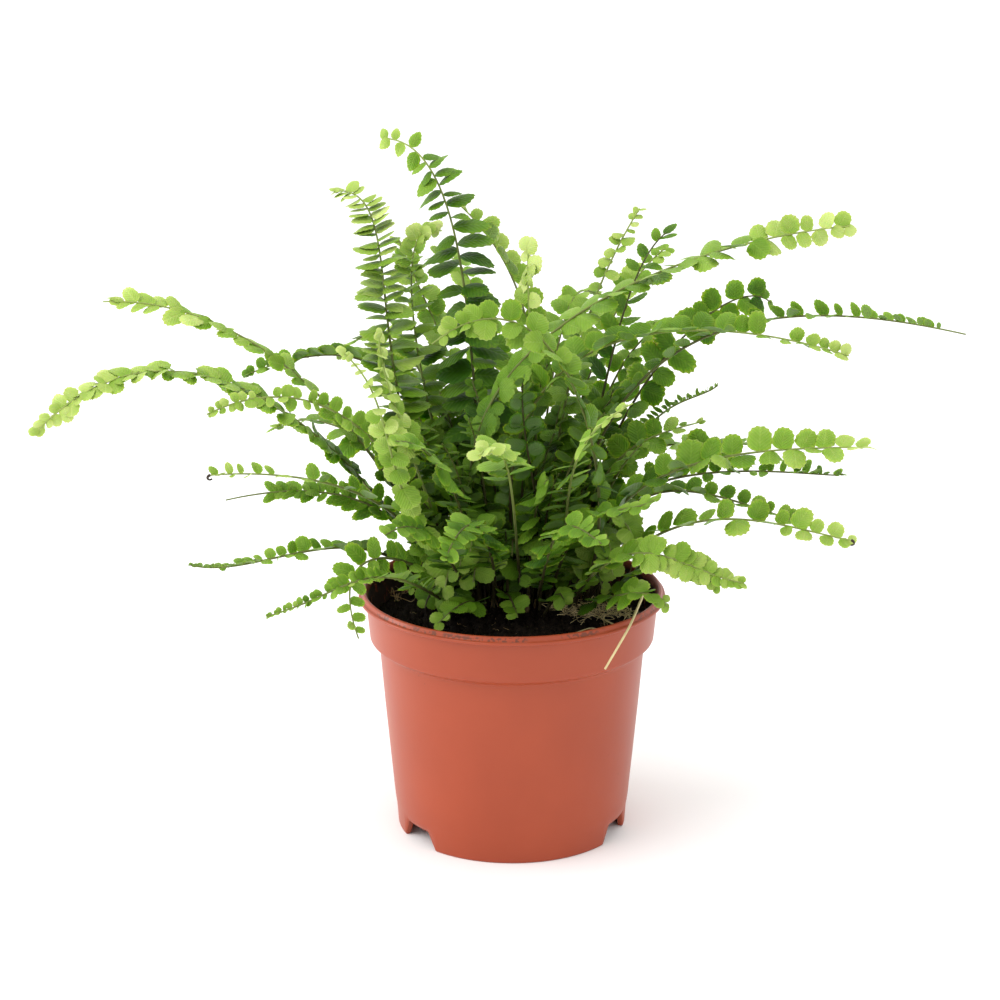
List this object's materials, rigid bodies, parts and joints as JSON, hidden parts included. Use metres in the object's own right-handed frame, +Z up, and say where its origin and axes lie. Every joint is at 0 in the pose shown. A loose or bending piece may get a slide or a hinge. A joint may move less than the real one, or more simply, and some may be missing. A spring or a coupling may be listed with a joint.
{
  "type": "potted fern",
  "caption": "Button fern with arching fronds of round leaflets, growing in a round terracotta-coloured nursery pot filled with soil.",
  "frame": {"origin": "centre of the pot's foot, on the surface that the pot stands on", "axes": "+Z up, +X along the plant's widest spread, -Y towards the front"},
  "size_m": [0.357, 0.2268, 0.2706],
  "materials": {
    "pot": "satin terracotta-coloured moulded plastic, with faint mould lines, scuffs and specks of soil",
    "soil": "dark, crumbly, damp potting soil with fibres",
    "frond": "smooth leaflets with a soft sheen, yellow-green when young and deep green when old",
    "straw": "dry, matt, straw-coloured stalk"
  },
  "bodies": {
    "root": {"pot": "pot", "soil": "soil", "frond_left_long": "frond", "frond_left_high": "frond", "frond_left_back": "frond", "frond_left_nodding": "frond", "frond_left_middle": "frond", "frond_left_thin": "frond", "frond_left_low": "frond", "frond_left_front_low": "frond", "frond_left_hanging": "frond", "frond_top_tall": "frond", "frond_top_left": "frond", "frond_top_inner": "frond", "frond_top_middle": "frond", "frond_top_thread": "frond", "frond_top_crossing": "frond", "frond_right_upright": "frond", "frond_right_dark_upright": "frond", "frond_right_high": "frond", "frond_right_wing": "frond", "frond_right_long": "frond", "frond_right_arch": "frond", "frond_right_fan": "frond", "frond_right_short": "frond", "frond_right_broad": "frond", "frond_right_thin": "frond", "frond_right_nodding": "frond", "frond_right_low": "frond", "frond_right_front_low": "frond", "frond_right_under": "frond", "frond_right_rim": "frond", "frond_right_front_middle": "frond", "frond_front_bright": "frond", "frond_front_left_young": "frond", "frond_front_left_thread": "frond", "frond_front_right_young": "frond", "frond_front_dark": "frond", "frond_front_left_low": "frond", "frond_front_left_middle": "frond", "frond_front_middle": "frond", "frond_front_right_middle": "frond", "frond_front_foot_left": "frond", "frond_front_foot": "frond", "frond_front_foot_right": "frond", "frond_back_right_low": "frond", "frond_back_right": "frond", "frond_back_right_middle": "frond", "frond_back_low": "frond", "frond_back_long": "frond", "frond_back_middle": "frond", "frond_back_high": "frond", "frond_back_left_low": "frond", "frond_back_left": "frond", "frond_back_left_middle": "frond", "frond_back_upright": "frond", "frond_back_right_upright": "frond", "dry_stalk": "straw", "stolon": "straw"}
  },
  "joints": []
}
